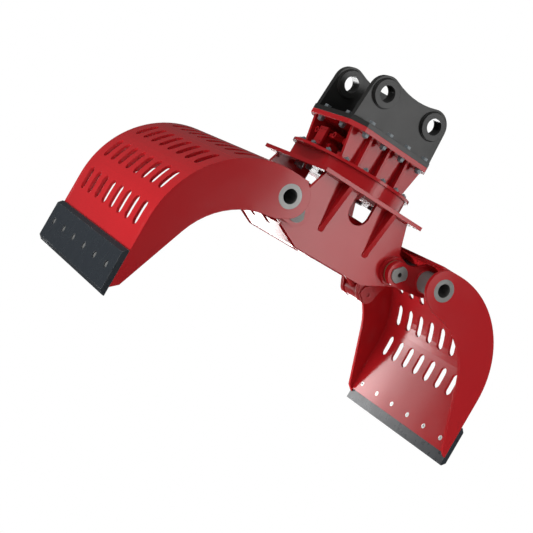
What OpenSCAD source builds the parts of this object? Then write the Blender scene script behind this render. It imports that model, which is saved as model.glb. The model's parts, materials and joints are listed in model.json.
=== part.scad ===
// Sorting grapple: a bolted hanger, a slewing head and a frame that carries two perforated shells.
// Units are millimetres, +Z is up and +X is the way the right shell opens. The part stands on its
// cutting edges with the shells fully open, and the origin lies on the ground on the slewing axis.

/* [Shells] */
// Width of a shell over its side plates
shell_w = 1000; // [900:10:1200]
// Thickness of the shell side plates
shell_side_t = 20; // [12:1:30]
// Thickness of the curved back sheet
sheet_t = 14; // [8:1:20]
// Distance of the back's outer line from the cross shaft
back_reach = 555; // [545:1:575]
// Height of the back sheet's lower edge below the cross shaft
sheet_drop = 724; // [700:2:760]
// Outer radius of the curved back
back_r = 505; // [480:5:540]
// Radius of the hollow in the side plates' inner edge
hollow_r = 400; // [340:5:440]
// Radius of the side plate around the cross shaft
side_boss_r = 104; // [95:1:115]
// Height of the cutting plate
blade_h = 225; // [180:5:240]
// Thickness of the cutting plate
blade_t = 28; // [20:1:36]
// Bevel on both outer edges of the cutting plate
blade_bevel = 20; // [8:1:20]
// How far the cutting plate stands out below the back sheet
blade_drop = 62; // [45:1:80]
// Bolts that hold one cutting plate
blade_bolts = 6; // [4:1:8]
// Height of the cutting plate bolts above the back sheet's lower edge
blade_bolt_up = 57; // [40:1:70]
// Diameter of the cutting plate bolts
blade_bolt_d = 16; // [12:1:20]

/* [Slots in the back sheet] */
// Slots side by side in one row
slot_columns = 8; // [4:1:9]
// Rows of slots along the curve
slot_rows = 4; // [2:1:4]
// Pitch of the slots across the shell
slot_pitch = 110; // [90:1:115]
// Angle between two rows around the curve
slot_step = 22.4; // [18:0.2:24]
// Length of a slot with its round ends
slot_len = 122; // [90:1:136]
// Width of a slot
slot_w = 52; // [24:1:60]

/* [Shell pivots] */
// Distance of the shell pivots from the slewing axis
pivot_x = 348; // [330:1:365]
// Depth of the shell pivots below the top of the frame
pivot_drop = 262; // [250:1:275]
// Distance of the cross shaft from its pivot along X
shaft_dx = 169; // [160:1:180]
// Height of the cross shaft above its pivot
shaft_dz = 40; // [30:1:50]
// Outer diameter of the cross shaft
shaft_d = 120; // [110:1:130]
// Bore of the cross shaft
shaft_bore = 72; // [40:1:90]
// Diameter of the pivot pins
pin_d = 76; // [66:1:80]
// Diameter of the keyed head of a pivot pin
pin_head_d = 92; // [84:1:100]
// Width over the two flats of the pin head
pin_flats = 74; // [60:1:80]
// How far the pin head stands out of the arm
pin_head_t = 8; // [4:1:16]
// Thickness of the arms
arm_t = 32; // [20:1:38]
// Radius of the arm's eye at the pivot
arm_eye_r = 66; // [60:1:72]
// Radius of the arm's eye on the cross shaft
arm_shaft_r = 86; // [78:1:95]
// Radius of the hollow along the arm's upper edge
arm_waist_r = 150; // [80:5:300]

/* [Lower frame] */
// Length of the frame's top plate along X
top_l = 655; // [620:5:680]
// Width of the frame's top plate along Y
top_w = 671; // [640:1:700]
// Thickness of the frame's top plate
top_t = 20; // [12:1:26]
// Distance between the outer faces of the frame's side plates
frame_w = 543; // [520:1:560]
// Thickness of the frame's side plates
frame_side_t = 20; // [12:1:24]
// Depth of the side plates below the top of the frame
frame_depth = 405; // [390:1:420]
// Half length of the side plate's lower edge
frame_foot = 223; // [200:1:240]
// Half length of the side plate under the top plate
frame_head = 281; // [270:1:300]
// Radius of the side plate around a pivot
frame_eye_r = 80; // [74:1:88]
// How far the pivot bosses stand out of the side plates
frame_boss_t = 20; // [12:1:24]
// Width of the round-bottomed cut-out in the side plates
window_w = 130; // [100:1:160]
// Depth of the cut-out below the top of the frame
window_depth = 164; // [120:1:180]
// Distance of the stiffening ribs from the middle
rib_x = 150; // [120:1:180]
// Thickness of the stiffening ribs
rib_t = 26; // [12:1:34]
// How far a rib stands out under the top plate
rib_out = 58; // [30:1:62]
// Depth of the rib's tip below the top of the frame
rib_depth = 278; // [200:1:300]
// Thickness of the belly plate
belly_t = 12; // [8:1:14]

/* [Slewing head] */
// How far the slewing flange stands out past both sides of the frame's top plate
flange_lip = 2.5; // [0:0.5:16]
// Thickness of the slewing flange
flange_t = 15; // [10:1:20]
// Diameter of the slewing housing
housing_d = 644; // [620:2:662]
// Height of the slewing housing
housing_h = 70; // [60:1:80]
// Length of the housing between its two flats
housing_l = 540; // [530:2:600]
// Diameter of the spigot that the housing turns on
spigot_d = 480; // [420:2:500]
// Bolts on the slewing flange
flange_bolts_n = 18; // [12:1:20]
// Radius of the flange's bolt circle
flange_bolt_r = 308; // [304:1:314]

/* [Upper frame and hanger] */
// Height of the upper frame between its two plates
upper_h = 160; // [140:1:180]
// Length of the upper plate along X
upper_l = 542; // [520:2:560]
// Width of the upper plate along Y
upper_w = 550; // [530:2:570]
// Thickness of the red upper plate
upper_t = 25; // [15:1:30]
// Thickness of the black hanger plate
hanger_t = 25; // [15:1:30]
// Cut corner of both plates along X
corner_x = 59; // [40:1:70]
// Cut corner of both plates along Y
corner_y = 83; // [60:1:90]
// Distance between the outer faces of the upper side plates
upper_side_w = 400; // [380:2:420]
// Thickness of the upper side plates
upper_side_t = 20; // [12:1:24]
// Diameter of the plate, flange and ring bolts
bolt_d = 20; // [12:1:22]
// Distance between the two hanger pins
hanger_pitch = 334; // [320:2:350]
// Height of the hanger pins above the hanger plate
hanger_pin_h = 176; // [165:1:190]
// Diameter of the hanger pin bores
hanger_bore = 85; // [70:1:95]
// Diameter of the bosses around the hanger bores
hanger_boss_d = 144; // [130:1:156]
// Radius of the lugs around the hanger pins
lug_r = 88; // [80:1:92]
// Radius of the saddle between the two ears of a lug
saddle_r = 424; // [300:2:600]
// Thickness of the lugs
lug_t = 32; // [24:1:40]
// Distance between the inner faces of the lugs
lug_gap = 324; // [300:2:340]
// How far the hanger bosses stand out on both faces of a lug
boss_out = 18; // [10:1:24]

/* [Cylinders and tie rod] */
// Radius of the cranks that carry the cylinders
crank_r = 105; // [100:1:110]
// Diameter of the cylinder barrels
barrel_d = 92; // [80:1:94]
// Wall of the cylinder barrels
barrel_wall = 8; // [5:1:12]
// Diameter of the piston rods
rod_d = 44; // [30:1:56]
// Diameter of the pins in the cylinder eyes
crank_pin_d = 40; // [30:1:46]
// Distance of each cylinder from the middle of the grapple
cylinder_y = 150; // [148:1:152]
// Radius of the crank that carries the tie rod
tie_r = 174; // [165:1:180]
// Radius of the hollow in the crank plate beside the tie rod's pin
tie_waist_r = 150; // [110:5:300]
// Diameter of the tie rod
tie_d = 50; // [36:1:56]
// Diameter of the pin in the tie rod's eye
tie_pin_d = 50; // [40:1:60]
// Radius around the tie rod's pin
tie_lug_r = 52; // [48:1:56]
// Thickness of the crank plates
crank_t = 32; // [20:1:34]

/* [Fits] */
// Radial running clearance of pins and pistons
run_fit = 0.05; // [0.02:0.01:0.1]
// Gap between faces that pass each other
face_gap = 0.5; // [0.3:0.1:1]
// Angle from fully open to closed shells
swing = 63.6; // [55:0.1:63.6]

/* [Hidden] */
$fn = 64;
eps = 0.01;

flange_d = top_w + 2 * flange_lip;

// Heights are first taken from the top face of the frame, then lifted onto the ground.
pivot = [pivot_x, -pivot_drop];
shaft = pivot + [shaft_dx, shaft_dz];
side_y = shell_w / 2;
edge_x = shaft.x + back_reach;
back_c = [edge_x - back_r, shaft.y + side_boss_r + 1 - back_r];
sheet_end = shaft.y - sheet_drop;
blade_end = sheet_end - blade_drop;
blade_top = blade_end + blade_h;
blade_bolt_z = sheet_end + blade_bolt_up;
blade_margin = 90;
blade_head_d = 1.75 * blade_bolt_d;
blade_pocket = 16;
blade_pitch = (shell_w - 2 * blade_margin) / (blade_bolts - 1);
blade_bolt_y = [for (k = [0:blade_bolts - 1]) (k - (blade_bolts - 1) / 2) * blade_pitch];
nut_h = 14;
stand = -blade_end;

// The pieces on a pivot pin, from the frame's side plate outwards: boss, collar, arm and pin head
bush_t = 8;
collar_t = 11;
arm_y = frame_w / 2 + frame_boss_t + collar_t + 1;
pin_end = arm_y + arm_t + pin_head_t;
hub_y = frame_w / 2 - frame_side_t - 6;
hub_r = 60;
neck_r = 40;
pin_in_hub = 40;

// The cranks: each angle is measured at the pivot with the shells open.
crank_open = 90 + swing / 2;
crank = pivot + crank_r * [cos(crank_open), sin(crank_open)];
tie_open = -70.4;
tie = pivot + tie_r * [cos(tie_open), sin(tie_open)];
// The far end of the tie rod sits on the left crank, half a turn and one swing away.
tie_far_open = tie_open + 180 - swing;
tie_far = [-pivot.x, pivot.y] + tie_r * [cos(tie_far_open), sin(tie_far_open)];
eye_out = 4;
side_gap = 3;
crank_y = cylinder_y - barrel_d / 2 - eye_out - side_gap - crank_t;
ear_y = cylinder_y + barrel_d / 2 + eye_out + side_gap;
ear_t = 22;
lobe_r = 44;
eye_r = 34;
barrel_back = crank.x - 48;
barrel_mouth = 180;

flange_z = housing_h;
upper_z = flange_z + flange_t + upper_h;
hanger_z = upper_z + upper_t;
lug_z = hanger_z + hanger_t;
hanger_pin = [hanger_pitch / 2, lug_z + hanger_pin_h];
plate_bolts = [
    for (sx = [-1, 1]) for (k = [62, 185]) for (sy = [-1, 1]) [sx * k, sy * (upper_w / 2 - 23)],
    for (sx = [-1, 1]) for (sy = [-1, 1]) [sx * (upper_l / 2 - 26), sy * 110]
];
ring_bolt_r = (spigot_d + housing_l) / 4;
ring_bolt_d = bolt_d - 2;
flange_bolt_d = bolt_d - 4;
swivel_d = 150;

paint = [0.62, 0.06, 0.06];
paint_dark = [0.45, 0.05, 0.05];
charcoal = [0.13, 0.13, 0.13];
steel = [0.62, 0.63, 0.62];
blade_grey = [0.17, 0.18, 0.2];
zinc = [0.72, 0.75, 0.76];
bronze = [0.6, 0.46, 0.25];

// Points on an arc around c, from angle a to angle b
function arc(c, r, a, b, n = 12) =
    [for (k = [0:n]) let (t = a + (b - a) * k / n) c + r * [cos(t), sin(t)]];

function heading(v) = atan2(v.y, v.x);

// Centre of a circle of radius r that touches two circles from outside, left of the way from a to b
function nestle(a, ra, b, rb, r) =
    let (d = norm(b - a), u = (b - a) / d, p = ra + r, q = rb + r, x = (d + (p * p - q * q) / d) / 2)
    a + x * u + sqrt(p * p - x * x) * [-u.y, u.x];

// A plate's outline runs counter-clockwise around its eyes. An eye is [centre, radius, waist]: the way
// to the next eye is their common tangent, or with a waist a hollow arc of that radius. An eye of
// radius 0 is a corner.
function hollow_c(a, b) = nestle(b[0], b[1], a[0], a[1], a[2]);
function leave_at(a, b) = a[2] > 0 ? heading(hollow_c(a, b) - a[0])
    : heading(b[0] - a[0]) - acos((a[1] - b[1]) / norm(b[0] - a[0]));
function arrive_at(a, b) = a[2] > 0 ? heading(hollow_c(a, b) - b[0]) : leave_at(a, b);
function after(a, b) = b + 360 * ceil((a - b) / 360);
function round_eye(o, a, b) = o[1] == 0 ? [o[0]]
    : let (e = after(a, b)) arc(o[0], o[1], a, e, max(2, ceil((e - a) / 9)));
function hollow_way(a, b) = a[2] == 0 ? []
    : let (c = hollow_c(a, b), e = heading(b[0] - c), f = after(e, heading(a[0] - c)),
           all = arc(c, a[2], f, e, max(3, ceil((f - e) / 6)))) [for (k = [1:len(all) - 2]) all[k]];
function outline(eyes) = [
    for (k = [0:len(eyes) - 1])
        let (m = len(eyes), o = eyes[k], before = eyes[(k + m - 1) % m], next = eyes[(k + 1) % m])
        each concat(round_eye(o, arrive_at(before, o), leave_at(o, next)), hollow_way(o, next))
];

// Corner of two lines, each given by a point and a direction
function corner(p, u, q, v) =
    let (w = q - p, s = (w.x * v.y - w.y * v.x) / (u.x * v.y - u.y * v.x)) p + s * u;

module lifted() { translate([0, 0, stand]) children(); }
module both_x() { children(); mirror([1, 0, 0]) children(); }
module both_y() { children(); mirror([0, 1, 0]) children(); }

// A flat shape drawn in X and Z, t thick, from y to y + t
module upright(y, t) { translate([0, y + t, 0]) rotate([90, 0, 0]) linear_extrude(t) children(); }

// A round bar along Y
module bar_y(p, d, y, t) { translate([p.x, y + t, p.y]) rotate([90, 0, 0]) cylinder(d = d, h = t); }

// A round bar along X
module bar_x(y, z, d, x, l) { translate([x, y, z]) rotate([0, 90, 0]) cylinder(d = d, h = l); }

// A hexagon head or nut, h high, standing on z = 0
module hexagon(d, h) { cylinder(d = 1.85 * d, h = h, $fn = 6); }

// One bolt through a joint: head on top, nut below, l is the clamped thickness
module through_bolt(d, l) {
    translate([0, 0, -l]) cylinder(d = d, h = l);
    cylinder(d = 2 * d, h = 3);
    hexagon(d, 0.65 * d + 3);
    translate([0, 0, -l - 3]) cylinder(d = 2 * d, h = 3);
    translate([0, 0, -l - 0.8 * d - 3]) hexagon(d, 0.8 * d + 3);
    translate([0, 0, -l - 1.05 * d - 3]) cylinder(d = d, h = d);
}

// The plan of the two clamped plates, with cut corners
module plate_plan() {
    x = upper_l / 2;
    y = upper_w / 2;
    polygon([
        [-x + corner_x, -y], [x - corner_x, -y], [x, -y + corner_y], [x, y - corner_y],
        [x - corner_x, y], [-x + corner_x, y], [-x, y - corner_y], [-x, -y + corner_y]
    ]);
}

module hanger_plate() {
    color(charcoal) lifted() difference() {
        translate([0, 0, hanger_z]) linear_extrude(hanger_t) plate_plan();
        for (p = plate_bolts) translate([p.x, p.y, hanger_z - 1]) cylinder(d = bolt_d, h = hanger_t + 2);
    }
}

// A lug: two round ears over a plate that widens to its foot, with a shallow saddle between them
module lug2d() {
    foot = hanger_pin.x + lug_r + 10;
    polygon(outline([
        [[-foot, lug_z], 0, 0], [[foot, lug_z], 0, 0],
        [hanger_pin, lug_r, saddle_r], [[-hanger_pin.x, hanger_pin.y], lug_r, 0]
    ]));
}

module lug_front() {
    outer = -lug_gap / 2 - lug_t;
    color(charcoal) lifted() difference() {
        union() {
            upright(outer, lug_t) lug2d();
            both_x() bar_y(hanger_pin, hanger_boss_d, outer - boss_out, lug_t + 2 * boss_out);
        }
        both_x() bar_y(hanger_pin, hanger_bore, outer - boss_out - 1, lug_t + 2 * boss_out + 2);
    }
}

module lug_rear() { mirror([0, 1, 0]) lug_front(); }

module hanger_bolts() {
    color(zinc) lifted() for (p = plate_bolts)
        translate([p.x, p.y, lug_z]) through_bolt(bolt_d, hanger_t + upper_t);
}

module upper_plate() {
    color(paint) lifted() difference() {
        translate([0, 0, upper_z]) linear_extrude(upper_t) plate_plan();
        for (p = plate_bolts) translate([p.x, p.y, upper_z - 1]) cylinder(d = bolt_d, h = upper_t + 2);
    }
}

// A side plate of the upper frame: it narrows downwards and has three tapered ribs
module upper_side_front() {
    z0 = flange_z + flange_t;
    y = -upper_side_w / 2;
    foot = 208;
    head = upper_l / 2 - 30;
    rib_pitch = 124;
    rib_w = 14;
    rib_foot = 44;
    rib_head = 30;
    color(paint) lifted() {
        upright(y, upper_side_t) polygon([[-foot, z0], [foot, z0], [head, upper_z], [-head, upper_z]]);
        for (k = [-1:1]) translate([k * rib_pitch + rib_w / 2, 0, 0]) rotate([0, -90, 0])
            linear_extrude(rib_w)
                polygon([[z0, y], [z0, y - rib_foot], [upper_z, y - rib_head], [upper_z, y]]);
    }
}

module upper_side_rear() { mirror([0, 1, 0]) upper_side_front(); }

// The slewing flange with the spigot that the housing turns on
module slew_flange() {
    color(paint) lifted() difference() {
        union() {
            translate([0, 0, flange_z]) cylinder(d = flange_d, h = flange_t);
            translate([0, 0, face_gap]) cylinder(d = spigot_d, h = flange_z - face_gap + eps);
        }
        flange_ring() translate([0, 0, -1]) cylinder(d = flange_bolt_d, h = flange_t + 2);
        translate([0, 0, -1]) cylinder(d = swivel_d, h = flange_z + flange_t + 2);
    }
}

// Copies around the flange's bolt circle, on the flange's lower face
module flange_ring() {
    for (k = [0:flange_bolts_n - 1]) rotate((k + 0.5) * 360 / flange_bolts_n)
        translate([flange_bolt_r, 0, flange_z]) children();
}

module flange_bolts() {
    color(zinc) lifted() flange_ring() {
        cylinder(d = flange_bolt_d, h = flange_t);
        translate([0, 0, flange_t]) hexagon(flange_bolt_d, 0.75 * flange_bolt_d);
        translate([0, 0, flange_t]) cylinder(d = flange_bolt_d - 2, h = 1.1 * flange_bolt_d);
    }
}

// A slewing motor: gear case, waist, motor body, side port and top plate
module slew_motor(x, y) {
    body_z = 74;
    port_d = 34;
    color(paint_dark) lifted() translate([x, y, flange_z + flange_t]) {
        cylinder(d = 104, h = 34);
        cylinder(d = 74, h = upper_h - 22);
        translate([0, 0, body_z]) cylinder(d = 92, h = 46);
        bar_x(0, body_z + port_d / 2 + 1, port_d, -56, 56);
        translate([-44, -26, upper_h - 40]) cube([66, 52, 22]);
    }
}

module slew_motor_left() { slew_motor(-115, -84); }
module slew_motor_right() { slew_motor(115, 84); }

// The valve block behind its mounting plate, with two round ports and a cross tube that ends in two eyes
module valve_block() {
    plate = [14, 76, 96];
    foot_h = 28;
    block = [82, 54, foot_h + plate.z];
    tube_z = 97;
    hole_in = 15;
    hole_top = foot_h + plate.z - hole_in;
    eye_d = 34;
    color(paint_dark) lifted() translate([-196, 55, flange_z + flange_t]) difference() {
        union() {
            translate([-plate.x, 0, foot_h]) cube([plate.x + eps, plate.y, plate.z]);
            translate([0, 11, 0]) cube(block);
            for (x = [48, 70]) bar_y([x, 46], eye_d, -20, 60);
            bar_y([26, tube_z], 28, -85, 185);
            for (y = [-85, 100]) bar_x(y, tube_z, eye_d, -14, 54);
        }
        for (y = [-85, 100]) bar_x(y, tube_z, 20, -15, 16);
        for (q = [[hole_in, hole_top], [plate.y - hole_in, hole_top], [hole_in, foot_h + hole_in]])
            bar_x(q.x, q.y, 8, -plate.x - 1, 10);
    }
}

// The rotary union on the slewing axis, hung in the slewing flange by its collar
module swivel() {
    z0 = flange_z + flange_t;
    color(paint_dark) lifted() {
        translate([0, 0, face_gap]) cylinder(d = swivel_d - 2 * face_gap, h = z0);
        translate([0, 0, z0]) cylinder(d = swivel_d + 10, h = 8);
        translate([0, 0, z0]) cylinder(d = 96, h = 96);
        translate([0, 0, z0 + 30]) cylinder(d = 110, h = 40);
    }
}

// The housing: a disc with a flat on each side, and rounded where the flats meet the rim
module slew_housing() {
    round_r = 60;
    color(paint) lifted() difference() {
        linear_extrude(housing_h - face_gap) offset(r = round_r) offset(delta = -round_r) intersection() {
            circle(d = housing_d, $fn = 96);
            square([housing_l, housing_d], center = true);
        }
        translate([0, 0, -1]) cylinder(d = spigot_d + 2 * run_fit, h = housing_h + 2);
    }
}

// Copies at the ring bolts, which keep clear of the frame's side plates
module bolt_ring() {
    both_x() both_y() for (a = [10, 30, 50]) rotate(a) translate([ring_bolt_r, 0, -top_t]) children();
}

module frame_top() {
    color(paint) lifted() difference() {
        translate([-top_l / 2, -top_w / 2, -top_t]) cube([top_l, top_w, top_t]);
        bolt_ring() translate([0, 0, -1]) cylinder(d = ring_bolt_d, h = top_t + 2);
    }
}

module ring_bolts() {
    color(zinc) lifted() bolt_ring() {
        cylinder(d = ring_bolt_d, h = top_t);
        translate([0, 0, -3]) cylinder(d = 2 * ring_bolt_d, h = 3);
        translate([0, 0, -nut_h]) hexagon(ring_bolt_d, nut_h);
    }
}

// A side plate of the frame: two eyes, a straight foot and a round-bottomed cut-out under the top plate
module frame_side2d() {
    neck = [pivot.x - 14, pivot.y + frame_eye_r + 12];
    difference() {
        polygon(outline([
            [[-frame_foot, -frame_depth], 0, 0], [[frame_foot, -frame_depth], 0, 0],
            [pivot, frame_eye_r, 0], [neck, 0, 0], [[frame_head, -top_t], 0, 0],
            [[-frame_head, -top_t], 0, 0], [[-neck.x, neck.y], 0, 0],
            [[-pivot.x, pivot.y], frame_eye_r, 0]
        ]));
        translate([-window_w / 2, -window_depth + window_w / 2]) square([window_w, window_depth]);
        translate([0, -window_depth + window_w / 2]) circle(d = window_w);
    }
}

module frame_side_front() {
    y = -frame_w / 2;
    color(paint) lifted() difference() {
        union() {
            upright(y, frame_side_t) frame_side2d();
            both_x() bar_y(pivot, 2 * frame_eye_r - 4, y - frame_boss_t, frame_boss_t + 1);
            both_x() translate([rib_x + rib_t / 2, 0, 0]) rotate([0, -90, 0]) linear_extrude(rib_t)
                polygon([[-top_t, y], [-top_t, y - rib_out], [-rib_depth, y - 2], [-rib_depth, y]]);
        }
        both_x() bar_y(pivot, pin_d + 2 * bush_t, y - frame_boss_t - 1, frame_side_t + frame_boss_t + 2);
    }
}

module frame_side_rear() { mirror([0, 1, 0]) frame_side_front(); }

// The belly plate stops short of the tie rod on the right. On the left it is bent up along the edges of
// the side plates, with a slot for each crank plate.
module belly_plate() {
    inner = frame_w / 2 - frame_side_t;
    right_end = 120;
    rise_l = 148;
    slot_from = 100;
    slot_gap = 5;
    foot = [-frame_foot, -frame_depth];
    eye = [-pivot.x, pivot.y];
    rise = heading(eye - foot) + asin(frame_eye_r / norm(eye - foot));
    u = [cos(rise), sin(rise)];
    n = [u.y, -u.x];
    tip = foot + rise_l * u;
    bend = corner(foot + belly_t * n, u, foot + [0, belly_t], [1, 0]);
    color(paint) lifted() difference() {
        upright(-inner, 2 * inner) polygon([
            foot, [right_end, foot.y], [right_end, foot.y + belly_t], bend, tip + belly_t * n, tip
        ]);
        both_y() translate([foot.x, crank_y - slot_gap, foot.y]) rotate([0, -rise, 0])
            translate([slot_from, 0, -2 * belly_t]) cube([rise_l, crank_t + 2 * slot_gap, 4 * belly_t]);
    }
}

module pivot_bushes() {
    y = -frame_w / 2 - frame_boss_t;
    color(bronze) lifted() both_x() both_y() difference() {
        union() {
            bar_y(pivot, pin_d + 2 * bush_t, y, frame_side_t + frame_boss_t);
            bar_y(pivot, 2 * frame_eye_r - 32, y - collar_t, collar_t);
        }
        bar_y(pivot, pin_d + 2 * run_fit, y - collar_t - 1, frame_side_t + frame_boss_t + collar_t + 2);
    }
}

// Profile of the shell: the outer line of the back, offset inwards by t, from the shaft to z = low
function back_line(t, low) = concat(
    [[shaft.x - shaft_d / 2, back_c.y + back_r - t]],
    arc(back_c, back_r - t, 90, 0, 24),
    [[edge_x - t, low]]
);

// The cone of a blade bolt's head, d wide at the inside of the back sheet, or a little before it
module blade_bolt_head(y, d, before) {
    translate([edge_x - sheet_t - before, y, blade_bolt_z]) rotate([0, 90, 0])
        cylinder(d1 = d, d2 = blade_bolt_d, h = (d - blade_bolt_d) / 2);
}

// One slot of the back sheet, cut straight through at angle a around the curve
module slot(a, y) {
    r = back_r - sheet_t / 2;
    half = (slot_len - slot_w) / 2;
    deep = 4 * sheet_t;
    translate([back_c.x, y, back_c.y]) rotate([0, 90 - a, 0]) translate([0, 0, r - deep / 2]) {
        for (s = [-1, 1]) translate([s * half, 0, 0]) cylinder(d = slot_w, h = deep, $fn = 24);
        translate([-half, -slot_w / 2, 0]) cube([2 * half, slot_w, deep]);
    }
}

module right_back_sheet() {
    inner = side_y - shell_side_t;
    outside = back_line(0, sheet_end);
    inside = back_line(sheet_t, sheet_end);
    first_y = -slot_pitch * (slot_columns - 1) / 2;
    first_angle = 0.4;
    color(paint) lifted() difference() {
        upright(-inner, 2 * inner) polygon(concat(outside, [for (k = [len(inside) - 1:-1:0]) inside[k]]));
        for (row = [0:slot_rows - 1]) for (k = [0:slot_columns - 1])
            slot(first_angle + row * slot_step, first_y + k * slot_pitch);
        for (y = blade_bolt_y) {
            bar_x(y, blade_bolt_z, blade_bolt_d, edge_x - sheet_t - 1, sheet_t + 2);
            blade_bolt_head(y, blade_head_d + 2 * eps, eps);
        }
    }
}

// A shell side plate: round on the shaft, curved back, hollow front edge and blade foot
module shell_side2d() {
    shoulder = shaft + [12, -side_boss_r - 17];
    slope = 8.7;
    fall = 68.3;
    u = [cos(slope), -sin(slope)];
    v = [cos(fall), -sin(fall)];
    heel = [edge_x - 37, sheet_end + 11];
    foot = [edge_x, blade_end + 44];
    bend = corner(shoulder, u, heel, v);
    hollow = bend - hollow_r * tan((fall - slope) / 2) * u + hollow_r * [u.y, -u.x];
    polygon(concat(
        arc(shaft, side_boss_r, 90, 252, 18), [shoulder],
        arc(hollow, hollow_r, 90 - slope, 90 - fall, 10),
        [heel, foot], arc(back_c, back_r, 0, 90, 24)
    ));
}

module right_side_front() {
    color(paint_dark) lifted() difference() {
        upright(-side_y, shell_side_t) shell_side2d();
        bar_y(shaft, shaft_d, -side_y - 1, shell_side_t + 2);
    }
}

module right_side_rear() { mirror([0, 1, 0]) right_side_front(); }

module right_blade() {
    outer = edge_x + blade_t;
    b = blade_bevel;
    color(blade_grey) lifted() difference() {
        upright(-side_y, shell_w) polygon([
            [edge_x, blade_top], [outer - b, blade_top], [outer, blade_top - b],
            [outer, blade_end + b], [outer - b, blade_end], [edge_x, blade_end]
        ]);
        for (y = blade_bolt_y) {
            bar_x(y, blade_bolt_z, blade_bolt_d, edge_x - 1, blade_t + 2);
            bar_x(y, blade_bolt_z, 2.2 * blade_bolt_d, outer - blade_pocket, blade_pocket + 1);
        }
    }
}

// Socket screws, flush with the inside of the back sheet, with nuts sunk into the blade's outer face
module right_blade_bolts() {
    outer = edge_x + blade_t;
    inside = edge_x - sheet_t;
    nut_at = outer - blade_pocket;
    color(zinc) lifted() for (y = blade_bolt_y) {
        difference() {
            union() {
                bar_x(y, blade_bolt_z, blade_bolt_d, inside + 1, outer - inside - 2);
                blade_bolt_head(y, blade_head_d, 0);
            }
            translate([inside - 1, y, blade_bolt_z]) rotate([0, 90, 0])
                cylinder(d = 0.7 * blade_bolt_d, h = 6, $fn = 6);
        }
        translate([nut_at, y, blade_bolt_z]) rotate([0, 90, 0]) hexagon(blade_bolt_d, 0.8 * blade_bolt_d);
    }
}

module right_shaft() {
    color(steel) lifted() difference() {
        bar_y(shaft, shaft_d, -side_y, shell_w);
        bar_y(shaft, shaft_bore, -side_y - 1, shell_w + 2);
    }
}

// An arm keyed to its pivot pin and welded to the cross shaft, waisted along its upper edge
module arm2d() { polygon(outline([[pivot, arm_eye_r, 0], [shaft, arm_shaft_r, arm_waist_r]])); }

module right_arm_front() {
    color(paint) lifted() difference() {
        upright(-arm_y - arm_t, arm_t) arm2d();
        bar_y(pivot, pin_d, -arm_y - arm_t - 1, arm_t + 2);
        bar_y(shaft, shaft_d, -arm_y - arm_t - 1, arm_t + 2);
    }
}

module right_arm_rear() { mirror([0, 1, 0]) right_arm_front(); }

// Two stub pins; each has a head with a grease hole and two flats, turned by flat_turn from level
module stub_pins(flat_turn) {
    grease_d = 24;
    color(steel) lifted() both_y() difference() {
        union() {
            bar_y(pivot, pin_d, -pin_end + pin_head_t, pin_end - pin_head_t - hub_y + pin_in_hub);
            intersection() {
                bar_y(pivot, pin_head_d, -pin_end, pin_head_t);
                translate([pivot.x, -pin_end - 1, pivot.y]) rotate([0, -flat_turn, 0])
                    translate([-pin_head_d, 0, -pin_flats / 2])
                    cube([2 * pin_head_d, pin_head_t + 2, pin_flats]);
            }
        }
        bar_y(pivot, grease_d, -pin_end - 1, 34);
    }
}

module right_pins() { stub_pins(43); }

// The hub between the frame's side plates: wide at the cranks and both ends, necked past the cylinders
module right_hub() {
    color(paint_dark) lifted() difference() {
        union() {
            bar_y(pivot, 2 * hub_r, -crank_y - crank_t, 2 * (crank_y + crank_t));
            bar_y(pivot, 2 * neck_r, -hub_y, 2 * hub_y);
            both_y() {
                bar_y(pivot, 2 * hub_r, -hub_y, hub_y - ear_y - ear_t);
                upright(-ear_y - ear_t, ear_t)
                    polygon(outline([[pivot, hub_r + 6, 0], [crank, lobe_r, 0]]));
            }
        }
        both_y() {
            bar_y(pivot, pin_d, -hub_y - 1, pin_in_hub + 1);
            bar_y(crank, crank_pin_d, -ear_y - ear_t - 1, ear_t + 2);
        }
    }
}

// A crank plate: hub, cylinder lobe, cross-shaft eye and tie-rod lobe, flame-cut in one piece
module crank2d(lobes) {
    difference() {
        polygon(outline(lobes));
        translate(crank) circle(d = crank_pin_d);
        translate(shaft) circle(d = shaft_d);
        translate(pivot) circle(hub_r);
    }
}

module right_crank_front() {
    color(paint_dark) lifted() difference() {
        upright(-crank_y - crank_t, crank_t) crank2d([
            [tie, tie_lug_r, tie_waist_r], [shaft, arm_shaft_r, 0],
            [crank, lobe_r, 0], [pivot, hub_r + 16, 0]
        ]);
        bar_y(tie, tie_pin_d, -crank_y - crank_t - 1, crank_t + 2);
    }
}
module right_crank_rear() { mirror([0, 1, 0]) right_crank_front(); }

module right_crank_pins() {
    color(steel) lifted() both_y()
        bar_y(crank, crank_pin_d, -ear_y - ear_t, ear_y + ear_t - crank_y);
}

module right_tie_pin() {
    flat = 1.5 * tie_pin_d;
    head_t = 7;
    face = -crank_y - crank_t;
    color(paint_dark) lifted() {
        bar_y(tie, tie_pin_d, face, -2 * face);
        both_y() difference() {
            intersection() {
                bar_y(tie, 2 * tie_lug_r - 12, face - head_t, head_t);
                translate([tie.x, face - head_t - 1, tie.y]) rotate([0, 35, 0])
                    translate([-flat, 0, -flat / 2]) cube([2 * flat, head_t + 1, flat]);
            }
            bar_y(tie, 22, face - head_t - 1, head_t - 1);
        }
    }
}

module left_back_sheet() { mirror([1, 0, 0]) right_back_sheet(); }
module left_side_front() { mirror([1, 0, 0]) right_side_front(); }
module left_side_rear() { mirror([1, 0, 0]) right_side_rear(); }
module left_blade() { mirror([1, 0, 0]) right_blade(); }
module left_blade_bolts() { mirror([1, 0, 0]) right_blade_bolts(); }
module left_shaft() { mirror([1, 0, 0]) right_shaft(); }
module left_arm_front() { mirror([1, 0, 0]) right_arm_front(); }
module left_arm_rear() { mirror([1, 0, 0]) right_arm_rear(); }
module left_pins() { mirror([1, 0, 0]) stub_pins(67); }
module left_hub() { mirror([1, 0, 0]) right_hub(); }
module left_crank_pins() { mirror([1, 0, 0]) right_crank_pins(); }

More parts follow.
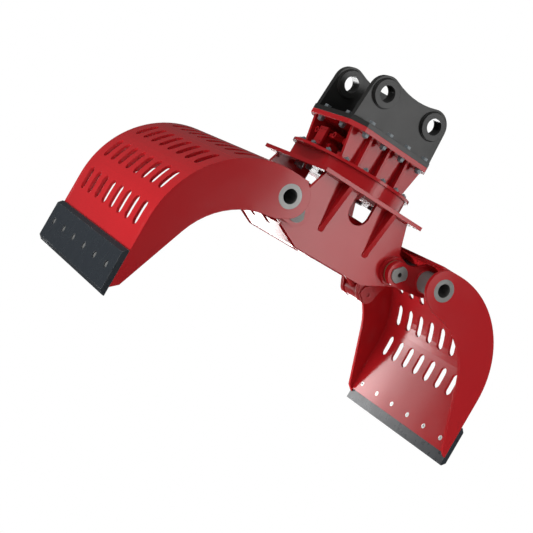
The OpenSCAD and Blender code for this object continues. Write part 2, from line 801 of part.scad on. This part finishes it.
// The left crank plates carry the far end of the tie rod above the pivot
module left_crank_front() {
    far = [-tie_far.x, tie_far.y];
    far_waist_r = 400;
    color(paint_dark) lifted() mirror([1, 0, 0]) difference() {
        upright(-crank_y - crank_t, crank_t) crank2d([
            [pivot, hub_r + 16, 0], [shaft, arm_shaft_r, far_waist_r], [far, lobe_r, 0]
        ]);
        bar_y(far, tie_pin_d, -crank_y - crank_t - 1, crank_t + 2);
    }
}
module left_crank_rear() { mirror([0, 1, 0]) left_crank_front(); }

// Two short studs in the left crank plates, in line with the tie rod's far eye
module left_tie_studs() {
    color(steel) lifted() both_y() bar_y(tie_far, tie_pin_d, -crank_y - crank_t, crank_t);
}

// A cylinder barrel on the left crank pin, hollow for the piston, with a gland at its open end
module barrel_front() {
    y = -cylinder_y;
    z = crank.y;
    inner_d = barrel_d - 2 * barrel_wall;
    color(paint_dark) lifted() difference() {
        union() {
            bar_x(y, z, barrel_d, -barrel_back, barrel_back + barrel_mouth);
            bar_y([-crank.x, z], 2 * eye_r, y - barrel_d / 2 - eye_out, barrel_d + 2 * eye_out);
            translate([-crank.x, y - 32, z - 26]) cube([crank.x - barrel_back + 2, 64, 52]);
        }
        bar_x(y, z, inner_d, -barrel_back + 12, barrel_back + barrel_mouth - 30);
        bar_x(y, z, rod_d + 2 * run_fit, barrel_mouth - 20, 30);
        bar_y([-crank.x, z], crank_pin_d + 2 * run_fit, y - barrel_d, 2 * barrel_d);
    }
}

module barrel_rear() { mirror([0, 1, 0]) barrel_front(); }

// A piston rod on the right crank pin
module rod_front() {
    y = -cylinder_y;
    z = crank.y;
    piston_d = barrel_d - 2 * barrel_wall - 2 * run_fit;
    color(steel) lifted() difference() {
        union() {
            bar_x(y, z, rod_d, -barrel_back + 22, barrel_back - 22 + crank.x);
            bar_x(y, z, piston_d, -barrel_back + 14, 30);
            bar_y([crank.x, z], 2 * eye_r, y - barrel_d / 2 - eye_out, barrel_d + 2 * eye_out);
        }
        bar_y([crank.x, z], crank_pin_d + 2 * run_fit, y - barrel_d, 2 * barrel_d);
    }
}

module rod_rear() { mirror([0, 1, 0]) rod_front(); }

// The tie rod keeps both shells in step: low on the right crank, high on the left one
module tie_rod() {
    d = tie_far - tie;
    eye_w = 2 * (crank_y - 2);
    color(paint_dark) lifted() difference() {
        union() {
            translate([tie.x, 0, tie.y]) rotate([0, 90 - atan2(d.y, d.x), 0])
                cylinder(d = tie_d, h = norm(d));
            bar_y(tie, 2 * tie_lug_r - 8, -eye_w / 2, eye_w);
            bar_y(tie_far, 2 * tie_lug_r - 8, -eye_w / 2, eye_w);
        }
        bar_y(tie, tie_pin_d + 2 * run_fit, -eye_w, 2 * eye_w);
        bar_y(tie_far, tie_pin_d + 2 * run_fit, -eye_w, 2 * eye_w);
    }
}

hanger_plate();
lug_front();
lug_rear();
hanger_bolts();
upper_plate();
upper_side_front();
upper_side_rear();
slew_flange();
flange_bolts();
slew_motor_left();
slew_motor_right();
valve_block();
swivel();
slew_housing();
frame_top();
ring_bolts();
frame_side_front();
frame_side_rear();
belly_plate();
pivot_bushes();
right_back_sheet();
right_side_front();
right_side_rear();
right_blade();
right_blade_bolts();
right_shaft();
right_arm_front();
right_arm_rear();
right_pins();
right_hub();
right_crank_front();
right_crank_rear();
right_crank_pins();
right_tie_pin();
left_back_sheet();
left_side_front();
left_side_rear();
left_blade();
left_blade_bolts();
left_shaft();
left_arm_front();
left_arm_rear();
left_pins();
left_hub();
left_crank_front();
left_crank_rear();
left_crank_pins();
left_tie_studs();
barrel_front();
barrel_rear();
rod_front();
rod_rear();
tie_rod();
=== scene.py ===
"""Dresses the sorting grapple: enamel, blackened and machined steel, weld beads, studio light and camera.

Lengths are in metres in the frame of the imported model: +Z up, the part's lowest point at rest at z = 0, the
slewing axis at x = y = 0.
"""

import json
import math

import bpy
import numpy as np
from mathutils import Matrix


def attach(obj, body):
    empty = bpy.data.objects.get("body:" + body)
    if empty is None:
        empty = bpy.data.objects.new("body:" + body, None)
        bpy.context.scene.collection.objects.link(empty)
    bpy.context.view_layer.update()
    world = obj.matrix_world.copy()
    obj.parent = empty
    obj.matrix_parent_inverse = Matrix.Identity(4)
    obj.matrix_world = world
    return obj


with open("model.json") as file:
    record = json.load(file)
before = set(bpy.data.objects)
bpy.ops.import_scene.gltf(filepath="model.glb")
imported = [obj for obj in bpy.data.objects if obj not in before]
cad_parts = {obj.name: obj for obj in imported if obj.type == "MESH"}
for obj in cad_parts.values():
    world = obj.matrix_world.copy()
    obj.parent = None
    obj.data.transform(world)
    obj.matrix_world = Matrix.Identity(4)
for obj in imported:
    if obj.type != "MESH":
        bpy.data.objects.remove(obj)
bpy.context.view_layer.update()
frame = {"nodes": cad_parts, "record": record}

# Sizes taken from the CAD source, points as x and z

TOP_Z = 1.008                                # top face of the frame's top plate
TOP_T = 0.020
PIVOT = np.array([0.348, -0.262 + TOP_Z])    # right shell's pivot on the frame
SHAFT = np.array([0.517, -0.222 + TOP_Z])    # right shell's cross shaft
SHAFT_R = 0.060
HUB_R = 0.060                                # hub on the pivot, between a shell's crank plates
EDGE_X = SHAFT[0] + 0.555                    # outer face of the right back sheet
BACK_R = 0.505                               # radius of that sheet's bend
BACK_C = np.array([EDGE_X - BACK_R, SHAFT[1] + 0.105 - BACK_R])
SHEET_T = 0.014
SHEET_END = SHAFT[1] - 0.724
SIDE_IN = 0.480                              # inner face of the shells' side plates, in y
ARM_Y = (0.3035, 0.3355)                     # both faces of an arm
CRANK_Y = (0.065, 0.097)                     # both faces of a crank plate
FRAME_Y = 0.2715                             # outer face of the frame's side plates
FRAME_IN = 0.2515                            # their inner face
UPPER_Y = 0.200                              # outer face of the upper frame's side plates
FLANGE_Z = TOP_Z + 0.085                     # top of the slewing flange
UPPER_Z = TOP_Z + 0.245                      # underside of the clamped plate
LUG_Z = TOP_Z + 0.295                        # top of the hanger plate
LUG_Y = (0.162, 0.194)                       # both faces of a lug
LUG_HALF = 0.262                             # half the length of a lug's weld
HANGER_PIN = np.array([0.167, LUG_Z + 0.176])
HANGER_BOSS_R = 0.072


def mirrored(*runs):
    """Runs along x left of the middle, and the same ones right of it."""
    return [*runs, *((-b, -a) for a, b in reversed(runs))]


# Where beads run beside the ribs, the window and the plates' ends
FRAME_RUNS = mirrored((-0.278, -0.165), (-0.135, -0.067))
UPPER_RUNS = mirrored((-0.236, -0.133), (-0.115, -0.009))
FLANGE_RUNS = mirrored((-0.206, -0.133), (-0.115, -0.009))
FRAME_RIB_FACES = (-0.163, -0.137, 0.137, 0.163)
FRAME_RIB_BEAD = (TOP_Z - 0.024, TOP_Z - 0.272)
UPPER_RIB_FACES = (-0.131, -0.117, -0.007, 0.007, 0.117, 0.131)
UPPER_RIB_GAP = 0.004
BELLY_LINE = ((-0.356, TOP_Z - 0.348), (-0.222, TOP_Z - 0.405), (0.118, TOP_Z - 0.405))


# Shader graphs

class Graph:
    """One node tree, with short ways to add a node and to feed a socket."""

    def __init__(self, tree):
        self.tree = tree
        tree.nodes.clear()

    def add(self, kind, inputs=None, **settings):
        node = self.tree.nodes.new(kind)
        for name, value in settings.items():
            setattr(node, name, value)
        for name, value in (inputs or {}).items():
            self.feed(node.inputs[name], value)
        return node

    def feed(self, socket, value):
        if isinstance(value, bpy.types.NodeSocket):
            self.tree.links.new(value, socket)
        else:
            socket.default_value = value

    def math(self, operation, a, b=0.0, clamp=False):
        node = self.add("ShaderNodeMath", {0: a, 1: b}, operation=operation, use_clamp=clamp)
        return node.outputs[0]

    def ramp(self, value, low, high, to_low=0.0, to_high=1.0):
        node = self.add("ShaderNodeMapRange", {"Value": value, "From Min": low, "From Max": high,
                                               "To Min": to_low, "To Max": to_high})
        return node.outputs["Result"]

    def mix(self, share, a, b):
        node = self.add("ShaderNodeMix", data_type="RGBA")
        self.feed(node.inputs[0], share)
        self.feed(node.inputs[6], a)
        self.feed(node.inputs[7], b)
        return node.outputs[2]

    def noise(self, vector, scale, detail=3.0, roughness=0.5):
        node = self.add("ShaderNodeTexNoise", {"Vector": vector, "Scale": scale, "Detail": detail,
                                               "Roughness": roughness})
        return node.outputs["Fac"]

    def place(self):
        return self.add("ShaderNodeTexCoord").outputs["Object"]

    def normal(self):
        return self.add("ShaderNodeNewGeometry").outputs["Normal"]


def effect(name, inputs, outputs):
    """An empty node group with named sockets: {name: default} in, {name: kind} out."""
    group = bpy.data.node_groups.new(name, "ShaderNodeTree")
    for label, default in inputs.items():
        kind = "NodeSocketColor" if isinstance(default, tuple) else "NodeSocketFloat"
        socket = group.interface.new_socket(name=label, in_out="INPUT", socket_type=kind)
        socket.default_value = default
    for label, kind in outputs.items():
        group.interface.new_socket(name=label, in_out="OUTPUT", socket_type="NodeSocket" + kind)
    graph = Graph(group)
    return graph, graph.add("NodeGroupInput").outputs, graph.add("NodeGroupOutput").inputs


def make_edge_wear_and_sheen():
    """Where an edge is: one minus the cosine between the true normal and the normal rounded over a radius,
    less the chips that noise breaks out of it. The enamels lay a painted sheen on this mask, the bare metals
    rubbed steel."""
    g, given, out = effect("edge_wear_and_sheen", {"Radius": 0.003, "Breakup": 0.5},
                           {"Edge": "Float", "Normal": "Vector"})
    rounded = g.add("ShaderNodeBevel", {"Radius": given["Radius"]}, samples=4).outputs["Normal"]
    dot = g.add("ShaderNodeVectorMath", {0: rounded, 1: g.normal()}, operation="DOT_PRODUCT")
    bend = g.ramp(g.math("SUBTRACT", 1.0, dot.outputs["Value"]), low=0.02, high=0.22)
    chips = g.ramp(g.noise(g.place(), scale=60.0, detail=5.0, roughness=0.65), low=0.42, high=0.62)
    kept = g.math("SUBTRACT", 1.0, g.math("MULTIPLY", given["Breakup"], chips))
    g.feed(out["Edge"], g.math("MULTIPLY", bend, kept, clamp=True))
    g.feed(out["Normal"], rounded)
    return g.tree


def make_orange_peel():
    """Height of sprayed enamel: fine dimples of one grain size over a slower swell."""
    g, given, out = effect("orange_peel", {"Grain": 260.0, "Swell": 9.0}, {"Height": "Float"})
    place = g.place()
    fine = g.noise(place, given["Grain"], detail=2.0, roughness=0.45)
    slow = g.noise(place, given["Swell"], detail=1.0)
    g.feed(out["Height"], g.math("ADD", fine, g.math("MULTIPLY", slow, 0.8)))
    return g.tree


def make_shade_drift():
    """A finish that is not quite even: two close colours mixed by broad cloudy noise, with fine specks."""
    g, given, out = effect("shade_drift", {"Colour": (0.5, 0.5, 0.5, 1.0), "Deep": (0.3, 0.3, 0.3, 1.0),
                                           "Scale": 6.0, "Specks": 0.1},
                           {"Colour": "Color", "Cloud": "Float"})
    place = g.place()
    cloud = g.ramp(g.noise(place, given["Scale"], detail=4.0, roughness=0.6), low=0.3, high=0.72)
    speck = g.ramp(g.noise(place, scale=420.0, detail=2.0), low=0.60, high=0.74)
    specks = g.math("MULTIPLY", speck, given["Specks"])
    share = g.math("ADD", g.math("MULTIPLY", cloud, 0.55), specks, clamp=True)
    g.feed(out["Colour"], g.mix(share, given["Colour"], given["Deep"]))
    g.feed(out["Cloud"], cloud)
    return g.tree


def make_settled_dust():
    """Dust on faces that look up: the normal's z, from 0.25 on, times cloudy noise."""
    g, given, out = effect("settled_dust", {"Amount": 0.2}, {"Dust": "Float"})
    up = g.ramp(g.add("ShaderNodeSeparateXYZ", {0: g.normal()}).outputs["Z"], low=0.25, high=1.0)
    cloud = g.ramp(g.noise(g.place(), scale=14.0, detail=6.0, roughness=0.7), low=0.35, high=0.75)
    g.feed(out["Dust"], g.math("MULTIPLY", g.math("MULTIPLY", up, cloud), given["Amount"], clamp=True))
    return g.tree


def make_lathe_lines():
    """Fine turning lines across Y, the direction of every pin: a wave in y broken by noise."""
    g, given, out = effect("lathe_lines", {"Lines": 900.0}, {"Height": "Float"})
    place = g.place()
    y = g.add("ShaderNodeSeparateXYZ", {0: place}).outputs["Y"]
    wave = g.math("SINE", g.math("MULTIPLY", g.math("MULTIPLY", y, given["Lines"]), 2 * math.pi))
    g.feed(out["Height"], g.math("ADD", g.math("MULTIPLY", wave, 0.5), g.noise(place, scale=300.0)))
    return g.tree


EFFECTS = {"edge_wear_and_sheen": make_edge_wear_and_sheen(), "orange_peel": make_orange_peel(),
           "shade_drift": make_shade_drift(), "settled_dust": make_settled_dust(),
           "lathe_lines": make_lathe_lines()}


def finish_of(name):
    """A new material: (material, its graph, its principled node, a function that places an effect)."""
    material = bpy.data.materials.new(name)
    material.use_nodes = True
    g = Graph(material.node_tree)
    shader = g.add("ShaderNodeBsdfPrincipled")
    g.add("ShaderNodeOutputMaterial", {"Surface": shader.outputs["BSDF"]})

    def use(effect_name, **inputs):
        node = g.add("ShaderNodeGroup", node_tree=EFFECTS[effect_name])
        for label, value in inputs.items():
            g.feed(node.inputs[label], value)
        return node.outputs

    return material, g, shader, use


DUST = (0.36, 0.30, 0.27, 1.0)
RUBBED_STEEL = (0.8, 0.8, 0.79, 1.0)


def enamel(name, colour, deep, rim_sheen, grain, bump, roughness, dust):
    """Sprayed enamel: drifting shade, a painted sheen on the rims (an edge colour paler than the face), dust
    on top and orange peel.
    """
    material, g, shader, use = finish_of(name)
    shade = use("shade_drift", Colour=colour, Deep=deep, Scale=5.0, Specks=0.10)
    rim = use("edge_wear_and_sheen", Radius=0.0022, Breakup=0.45)
    settled = use("settled_dust", Amount=dust)["Dust"]
    # The rim colour is a painted sheen: the light that rounded edges catch, laid on as colour
    with_rim_sheen = g.mix(g.math("MULTIPLY", rim["Edge"], 0.55), shade["Colour"], rim_sheen)
    g.feed(shader.inputs["Base Color"], g.mix(settled, with_rim_sheen, DUST))
    rough = g.ramp(shade["Cloud"], 0.0, 1.0, to_low=roughness - 0.03, to_high=roughness + 0.05)
    g.feed(shader.inputs["Roughness"], g.math("ADD", rough, g.math("MULTIPLY", settled, 0.5), clamp=True))
    height = use("orange_peel", Grain=grain, Swell=7.0)["Height"]
    peel = g.add("ShaderNodeBump", {"Strength": bump, "Distance": 0.0006, "Normal": rim["Normal"],
                                    "Height": height})
    g.feed(shader.inputs["Normal"], peel.outputs["Normal"])
    return material


def bare_metal(name, colour, deep, roughness, lines, bump, metallic):
    """Machined, plated or blackened steel: turning lines, drifting shade and bright edges."""
    material, g, shader, use = finish_of(name)
    shade = use("shade_drift", Colour=colour, Deep=deep, Scale=24.0, Specks=0.25)
    rim = use("edge_wear_and_sheen", Radius=0.0015, Breakup=0.2)
    rubbed = g.mix(g.math("MULTIPLY", rim["Edge"], 0.5), shade["Colour"], RUBBED_STEEL)
    g.feed(shader.inputs["Base Color"], rubbed)
    rough = g.ramp(shade["Cloud"], 0.0, 1.0, to_low=roughness, to_high=roughness + 0.12)
    g.feed(shader.inputs["Roughness"], rough)
    shader.inputs["Metallic"].default_value = metallic
    height = use("lathe_lines", Lines=lines)["Height"]
    cut = g.add("ShaderNodeBump", {"Strength": bump, "Distance": 0.0003, "Normal": rim["Normal"],
                                   "Height": height})
    g.feed(shader.inputs["Normal"], cut.outputs["Normal"])
    return material


# One finish for each material slot of the record

FINISH = {
    # Each enamel's edge colour is a painted sheen on its rims: paler red on the red enamels, a paler bluish
    # grey on the charcoal
    "red_paint": enamel(
        "red_enamel", colour=(0.47, 0.0135, 0.0180, 1), deep=(0.43, 0.0115, 0.0155, 1),
        rim_sheen=(0.60, 0.030, 0.035, 1), grain=230.0, bump=0.14, roughness=0.15, dust=0.04),
    "dark_red_paint": enamel(
        "deep_red_enamel", colour=(0.44, 0.0125, 0.0165, 1), deep=(0.39, 0.0105, 0.0140, 1),
        rim_sheen=(0.56, 0.030, 0.035, 1), grain=230.0, bump=0.14, roughness=0.16, dust=0.04),
    "charcoal_paint": enamel(
        "charcoal_enamel", colour=(0.022, 0.022, 0.021, 1), deep=(0.016, 0.016, 0.016, 1),
        rim_sheen=(0.035, 0.042, 0.050, 1), grain=300.0, bump=0.10, roughness=0.22, dust=0.02),
    "blade_steel": bare_metal(
        "blackened_steel", colour=(0.021, 0.026, 0.032, 1), deep=(0.016, 0.020, 0.026, 1),
        roughness=0.24, lines=120.0, bump=0.05, metallic=0.0),
    "zinc_bolt": bare_metal(
        "zinc_plate", colour=(0.20, 0.225, 0.24, 1), deep=(0.13, 0.15, 0.17, 1),
        roughness=0.30, lines=500.0, bump=0.06, metallic=0.25),
    "pin_steel": bare_metal(
        "turned_steel", colour=(0.205, 0.205, 0.197, 1), deep=(0.18, 0.18, 0.172, 1),
        roughness=0.34, lines=900.0, bump=0.06, metallic=0.12),
    "bright_rod": bare_metal(
        "chromed_steel", colour=(0.66, 0.68, 0.70, 1), deep=(0.58, 0.60, 0.62, 1),
        roughness=0.12, lines=1400.0, bump=0.03, metallic=1.0),
    "bronze": bare_metal(
        "bearing_bronze", colour=(0.34, 0.25, 0.14, 1), deep=(0.26, 0.18, 0.09, 1),
        roughness=0.34, lines=700.0, bump=0.08, metallic=0.5),
}

# The shafts and the blades' screws have a finish of their own, found by the node's name after its side
OWN_FINISH = {
    "shaft": bare_metal(
        "oiled_shaft", colour=(0.25, 0.25, 0.243, 1), deep=(0.21, 0.21, 0.204, 1),
        roughness=0.15, lines=900.0, bump=0.04, metallic=0.4),
    "blade_bolts": bare_metal(
        "bright_screws", colour=(0.62, 0.63, 0.62, 1), deep=(0.50, 0.51, 0.50, 1),
        roughness=0.26, lines=500.0, bump=0.05, metallic=0.8),
}
for part in frame["record"]["subparts"]:
    finished = frame["nodes"][part["node"]].data
    finished.materials.clear()
    after_side = part["node"].split("_", 1)[-1]
    finished.materials.append(OWN_FINISH.get(after_side, FINISH[part["material_slot"]]))


# Surfaces worked out on grids

def surface(name, points, slot, body, closed_u):
    """A mesh over a grid points[u, v]: quads between neighbours, wrapped in v, and in u where closed."""
    nu, nv = points.shape[:2]
    a, b = np.meshgrid(np.arange(nu if closed_u else nu - 1), np.arange(nv), indexing="ij")
    c, d = (a + 1) % nu, (b + 1) % nv
    quads = np.stack([a * nv + b, c * nv + b, c * nv + d, a * nv + d], -1).reshape(-1, 4)
    mesh = bpy.data.meshes.new(name)
    mesh.from_pydata(points.reshape(-1, 3), [], quads)
    mesh.validate()
    mesh.polygons.foreach_set("use_smooth", np.ones(len(mesh.polygons), bool))
    mesh.materials.append(FINISH[slot])
    piece = bpy.data.objects.new(name, mesh)
    bpy.context.scene.collection.objects.link(piece)
    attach(piece, body)
    return piece


def along(path, step):
    """The path's points again at even steps of its own length, and the length up to each."""
    path = np.asarray(path, float)
    length = np.r_[0, np.cumsum(np.linalg.norm(np.diff(path, axis=0), axis=1))]
    at = np.linspace(0, length[-1], max(3, int(round(length[-1] / step)) + 1))
    return np.stack([np.interp(at, length, path[:, k]) for k in range(3)], 1), at


BEAD_STEP = 0.0035
BEAD_SIDES = 8
RIPPLE = 0.011            # length of one ripple along a bead
RIPPLE_HEIGHT = 0.13      # as a share of the bead's radius
TIP_SHARE = 0.02          # least share that the end's taper leaves, under the root
RING_POINTS = 97
BEND_POINTS = 40
BEAD_START = 0.02         # past the shaft's middle
BEAD_FOOT = 0.03          # above the sheet's lower end


def bead(path, radius, closed):
    """A weld bead: circles square to the path, of radius r(s) = r0 (1 + h |sin(pi s / ripple)|), times the
    root of the distance to the nearer end over r0 where the path is open."""
    line, s = along(path, BEAD_STEP)
    if closed:
        line, s = line[:-1], s[:-1]
        ahead, behind = np.roll(line, -1, 0), np.roll(line, 1, 0)
    else:
        ahead, behind = np.vstack([line[1:], line[-1:]]), np.vstack([line[:1], line[:-1]])
    way = ahead - behind
    way /= np.linalg.norm(way, axis=1)[:, None]
    helper = np.where(np.abs(way[:, 1:2]) < 0.9, [[0, 1, 0]], [[1, 0, 0]])  # X where the path runs along Y
    side = np.cross(way, helper)
    side /= np.linalg.norm(side, axis=1)[:, None]
    over = np.cross(way, side)
    r = radius * (1 + RIPPLE_HEIGHT * np.abs(np.sin(math.pi * s / RIPPLE)))
    if not closed:
        r = r * np.sqrt(np.clip(np.minimum(s, s[-1] - s) / radius, TIP_SHARE, 1))
    t = np.linspace(0, 2 * math.pi, BEAD_SIDES + 1)[:-1]
    ring = np.cos(t)[None, :, None] * side[:, None] - np.sin(t)[None, :, None] * over[:, None]
    return line[:, None] + r[:, None, None] * ring


def welds(name, paths, slot, body, radius):
    """Several beads in one mesh: each path is (points, closed)."""
    parts = [surface(f"{name}_{k}", bead(points, radius, closed), slot, body, closed)
             for k, (points, closed) in enumerate(paths)]
    first = parts[0]
    with bpy.context.temp_override(active_object=first, selected_editable_objects=parts, object=first):
        bpy.ops.object.join()
    first.name = name


def ring_y(centre, radius, y, sign=1):
    """A closed path: a circle around a line along Y, at x = sign (cx + r cos t) and z = cz + r sin t."""
    t = np.linspace(0, 2 * math.pi, RING_POINTS)
    x = sign * (centre[0] + radius * np.cos(t))
    return np.stack([x, np.full_like(t, y), centre[1] + radius * np.sin(t)], 1), True


def straight(*points):
    """An open path straight from point to point."""
    return np.array(points, float), False


def back_curve(sign):
    """Inner line of a back sheet in x and z: straight over the shaft, a quarter circle, straight down."""
    inner_r = BACK_R - SHEET_T
    t = np.radians(np.linspace(90, 0, BEND_POINTS))
    x = np.r_[SHAFT[0] + BEAD_START, BACK_C[0] + inner_r * np.cos(t), EDGE_X - SHEET_T]
    z = np.r_[BACK_C[1] + inner_r, BACK_C[1] + inner_r * np.sin(t), SHEET_END + BEAD_FOOT]
    return sign * x, z


def shell_welds(side, sign):
    """Beads inside a shell's corners, round its shaft at the side plates, arms and crank plates, and round
    its hub outside the crank plates."""
    x, z = back_curve(sign)
    seams = [(np.stack([x, np.full_like(x, y), z], 1), False) for y in (-SIDE_IN, SIDE_IN)]
    seams += [ring_y(SHAFT, SHAFT_R, y, sign) for y in (-SIDE_IN, SIDE_IN)]
    welds(f"{side}_shell_welds", seams, "red_paint", f"{side}_shell", radius=0.0035)
    rings = [ring_y(SHAFT, SHAFT_R, s * y, sign) for s in (-1, 1) for y in (*ARM_Y, *CRANK_Y)]
    rings += [ring_y(PIVOT, HUB_R, s * CRANK_Y[1], sign) for s in (-1, 1)]
    welds(f"{side}_arm_welds", rings, "dark_red_paint", f"{side}_shell", radius=0.006)


def frame_welds():
    """Beads below the top plate, up the ribs and along the belly plate."""
    seams = []
    for s in (-1, 1):
        y = s * FRAME_Y
        seams += [straight((a, y, TOP_Z - TOP_T), (b, y, TOP_Z - TOP_T)) for a, b in FRAME_RUNS]
        seams += [straight(*((x, y, z) for z in FRAME_RIB_BEAD)) for x in FRAME_RIB_FACES]
        seams.append(straight(*((x, s * FRAME_IN, z) for x, z in BELLY_LINE)))
    welds("frame_welds", seams, "red_paint", "frame", radius=0.005)


def upper_frame_welds():
    """Beads along the upper frame's side plates, above and below, and up their ribs."""
    seams = []
    for s in (-1, 1):
        y = s * UPPER_Y
        for height, runs in ((UPPER_Z, UPPER_RUNS), (FLANGE_Z, FLANGE_RUNS)):
            seams += [straight((a, y, height), (b, y, height)) for a, b in runs]
        for x in UPPER_RIB_FACES:
            seams.append(straight((x, y, FLANGE_Z + UPPER_RIB_GAP), (x, y, UPPER_Z - UPPER_RIB_GAP)))
    welds("upper_frame_welds", seams, "red_paint", "hanger", radius=0.004)


def lug_welds():
    """Beads along both faces of each lug, and round its two bosses."""
    seams = []
    for s in (-1, 1):
        for y in LUG_Y:
            seams.append(straight((-LUG_HALF, s * y, LUG_Z), (LUG_HALF, s * y, LUG_Z)))
        for end in (-1, 1):
            for y in LUG_Y:
                seams.append(ring_y(HANGER_PIN, HANGER_BOSS_R, s * y, end))
    welds("lug_welds", seams, "charcoal_paint", "hanger", radius=0.005)


shell_welds("right", 1)
shell_welds("left", -1)
frame_welds()
upper_frame_welds()
lug_welds()


# Floor, light and camera

FLOOR_Z = -0.5            # below the lowest point that the closing shells reach
FLOOR_HALF = 30.0
TABLE_Z = FLOOR_Z + 0.01
MIDDLE = (0, 0, 0.7)
LAMP_GAP = 0.02           # keeps two lamps of one box apart, or one would hide the other
WORLD_GLOW = 0.08         # what the world adds to all but the camera's own rays


def pale_floor():
    """White where the camera sees it, as on a light table, and a mild bounce for everything else."""
    material = bpy.data.materials.new("pale_floor")
    material.use_nodes = True
    g = Graph(material.node_tree)
    tone = g.mix(g.noise(g.place(), scale=2.0), (0.36, 0.36, 0.36, 1), (0.42, 0.42, 0.42, 1))
    diffuse = g.add("ShaderNodeBsdfDiffuse", {"Color": tone})
    glow = g.add("ShaderNodeEmission", {"Color": (1, 1, 1, 1), "Strength": 1.0})
    seen = g.add("ShaderNodeLightPath").outputs["Is Camera Ray"]
    lit = g.add("ShaderNodeMixShader", {0: seen, 1: diffuse.outputs[0], 2: glow.outputs[0]})
    g.add("ShaderNodeOutputMaterial", {"Surface": lit.outputs[0]})
    corners = [(i * FLOOR_HALF, j * FLOOR_HALF, FLOOR_Z) for i, j in ((-1, -1), (1, -1), (1, 1), (-1, 1))]
    mesh = bpy.data.meshes.new("floor")
    mesh.from_pydata(corners, [], [(0, 1, 2, 3)])
    mesh.materials.append(material)
    floor = bpy.data.objects.new("floor", mesh)
    bpy.context.scene.collection.objects.link(floor)
    floor.visible_glossy = False


# Each box: name, place, aim, width and height, radiance for the matt part of a finish, and in the gloss
LIGHTS = [
    ("left_high", (-2.9, 0, 3.6), MIDDLE, (3.6, 1.8), 3.0, 0.0),
    ("left", (-4.0, -0.8, 2.2), MIDDLE, (2.4, 1.5), 3.0, 0.28),
    ("front_high", (0.3, -3.5, 2.9), MIDDLE, (3.2, 1.3), 1.9, 0.8),
    ("front_box", (2.15, -4.0, 0.7), (2.15, 0, 0.7), (1.5, 1.7), 5.0, 3.4),
    ("front_box_upper", (2.3, -4.0, 2.1), (2.3, 0, 2.1), (1.5, 1.1), 5.0, 2.3),
    ("front_box_side", (1.1, -4.0, 0.7), (1.1, 0, 0.7), (0.6, 1.7), 3.0, 0.05),
    ("right_low", (4.1, 0.2, 1.1), MIDDLE, (3.0, 1.5), 0.0, 0.8),
    ("left_table", (-3.3, -0.2, TABLE_Z), (-3.3, -0.2, 1), (3.2, 2.4), 5.0, 0.0),
    ("near_table", (0.62, 0.72, TABLE_Z), (0.62, 0.72, 1), (0.9, 0.6), 4.0, 0.0),
    ("middle_table", (0.6, 1.4, TABLE_Z), (0.6, 1.4, 1), (1.4, 0.8), 5.0, 0.0),
    ("far_table", (-0.5, 2.3, TABLE_Z), (-0.5, 2.3, 1), (2.4, 1.1), 5.0, 0.0),
    ("right_table", (1.0, -0.4, TABLE_Z), (1.0, -0.4, 1), (1.2, 1.0), 1.8, 0.0),
    ("back_box", (-0.22, 2.5, -0.05), (-0.22, 0, -0.05), (0.98, 1.0), 0.0, 7.5),
    ("back_box_side", (-0.96, 2.5, 0.05), (-0.96, 0, 0.05), (0.5, 0.8), 0.0, 1.8),
    ("back_strip", (1.4, 2.5, 0.05), (1.4, 0, 0.05), (1.9, 1.1), 0.0, 7.0),
]


def turned(right, up, back, place):
    """The matrix that puts an object at a place, with its x, y and z along these directions."""
    m = np.eye(4)
    m[:3, 0], m[:3, 1], m[:3, 2], m[:3, 3] = right, up, back, place
    return Matrix(m)


def soft_box(name, place, aim, size, radiance, shows_in):
    """A rectangular area light that faces the aim point, of power pi * area * radiance. It either lights
    the matt part of a finish or shows in the gloss."""
    lamp = bpy.data.lights.new(name, "AREA")
    lamp.shape, lamp.size, lamp.size_y = "RECTANGLE", size[0], size[1]
    lamp.energy = math.pi * size[0] * size[1] * radiance
    box = bpy.data.objects.new(name, lamp)
    bpy.context.scene.collection.objects.link(box)
    place = np.array(place, float)
    back = place - np.array(aim, float)
    back /= np.linalg.norm(back)
    if shows_in == "gloss":
        place = place - LAMP_GAP * back
    helper = [0, 0, 1] if abs(back[2]) < 0.99 else [0, 1, 0]  # Y where the box looks straight up
    across = np.cross(helper, back)
    across /= np.linalg.norm(across)
    box.matrix_world = turned(across, np.cross(back, across), back, place)
    box.visible_diffuse = shows_in == "matt"
    box.visible_glossy = shows_in == "gloss"
    box.visible_camera = False


def studio():
    """The world, white to the camera, the floor, and a matt and a gloss lamp for each box that has them."""
    world = bpy.data.worlds.new("studio")
    bpy.context.scene.world = world
    world.use_nodes = True
    g = Graph(world.node_tree)
    seen = g.add("ShaderNodeLightPath").outputs["Is Camera Ray"]
    bright = g.ramp(seen, 0.0, 1.0, to_low=WORLD_GLOW, to_high=1.0)
    glow = g.add("ShaderNodeBackground", {"Color": (1, 1, 1, 1), "Strength": bright})
    g.add("ShaderNodeOutputWorld", {"Surface": glow.outputs[0]})
    pale_floor()
    for name, place, aim, size, matt, gloss in LIGHTS:
        for shows_in, radiance in (("matt", matt), ("gloss", gloss)):
            if radiance:
                soft_box(f"{name}_{shows_in}", place, aim, size, radiance, shows_in)


# The camera fitted to the photograph: its directions, its place, and its focal length in pixels
CAMERA_RIGHT = (0.75127, -0.43071, 0.50010)
CAMERA_UP = (-0.42558, 0.26304, 0.86585)
CAMERA_BACK = (-0.50448, -0.86331, 0.01431)
CAMERA_PLACE = (-3.1430, -5.1221, 0.5329)
FOCAL_PIXELS = 1169.9
PHOTO_PIXELS = 533
SENSOR = 36.0             # millimetres


def camera():
    """The camera, with its lens in proportion to the sensor as the focal length is to the picture."""
    lens = bpy.data.cameras.new("camera")
    lens.sensor_width, lens.lens = SENSOR, SENSOR * FOCAL_PIXELS / PHOTO_PIXELS
    eye = bpy.data.objects.new("camera", lens)
    bpy.context.scene.collection.objects.link(eye)
    eye.matrix_world = turned(CAMERA_RIGHT, CAMERA_UP, CAMERA_BACK, CAMERA_PLACE)
    bpy.context.scene.camera = eye


studio()
camera()
bpy.context.scene.view_settings.view_transform = "Standard"
